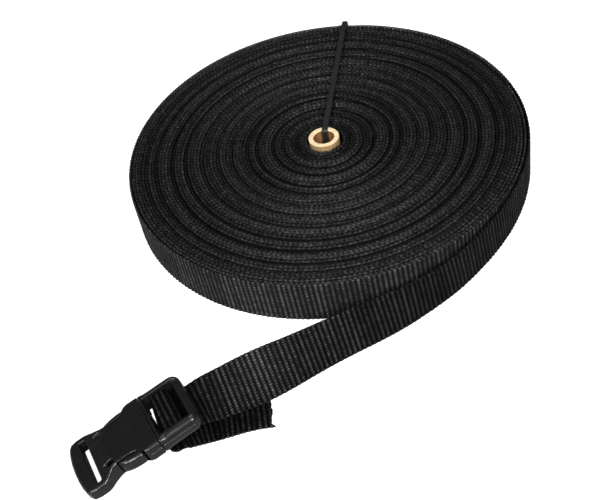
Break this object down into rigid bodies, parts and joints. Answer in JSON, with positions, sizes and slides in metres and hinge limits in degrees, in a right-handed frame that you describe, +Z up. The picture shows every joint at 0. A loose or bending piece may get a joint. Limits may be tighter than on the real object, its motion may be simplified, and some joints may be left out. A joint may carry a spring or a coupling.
{
  "type": "training leash",
  "caption": "Long webbing training lead rolled flat on a short paper tube and tied, with a side-release buckle on its loose outer end.",
  "frame": {"origin": "on the coil's axis, at the plane the coil rests on", "axes": "+Z up along the coil's axis, -Y towards the side where the loose end comes off, +X to the right seen from there"},
  "size_m": [0.2567, 0.3009, 0.0285],
  "materials": {
    "webbing": "black ribbed polyester webbing, slight sheen",
    "paper_tube": "kraft paper, matt",
    "tie_plastic": "smooth satin",
    "buckle_plastic": "moulded, satin"
  },
  "bodies": {
    "coil": {"webbing_coil": "webbing", "core_tube": "paper_tube", "retaining_tie": "tie_plastic", "outer_wrap": "webbing"},
    "free_end": {"strap_run": "webbing", "strap_tail": "webbing"},
    "plug": {"plug_frame": "buckle_plastic", "bar_loop": "webbing", "strap_end": "webbing"},
    "left_arm": {"left_release_arm": "buckle_plastic"},
    "right_arm": {"right_release_arm": "buckle_plastic"},
    "socket": {"socket_housing": "buckle_plastic"}
  },
  "joints": [
    {"name": "free_end_swing", "type": "hinge", "parent": "coil", "child": "free_end", "pos_m": [0.0645, -0.0934, 0.0125], "axis": [0, 0, 1], "range_deg": [-2, 30]},
    {"name": "buckle_flex", "type": "hinge", "parent": "free_end", "child": "plug", "pos_m": [-0.0746, -0.15155, 0.0144], "axis": [-0.2472, 0.9369, 0.2472], "range_deg": [0, 30], "stiffness_Nm_per_rad": 0.02},
    {"name": "left_arm_squeeze", "type": "hinge", "parent": "plug", "child": "left_arm", "pos_m": [-0.11027, -0.15179, 0.01268], "axis": [-0.2409, 0.0612, 0.9686], "range_deg": [0, 9], "stiffness_Nm_per_rad": 0.05},
    {"name": "right_arm_squeeze", "type": "hinge", "parent": "plug", "child": "right_arm", "pos_m": [-0.10447, -0.16949, 0.01524], "axis": [0.2409, -0.0612, -0.9686], "range_deg": [0, 9], "stiffness_Nm_per_rad": 0.05},
    {"name": "buckle_release", "type": "slide", "parent": "plug", "child": "socket", "axis": [-0.9203, -0.3313, -0.2079], "range_m": [0, 0.034], "deforming": ["left_release_arm", "right_release_arm"]}
  ]
}
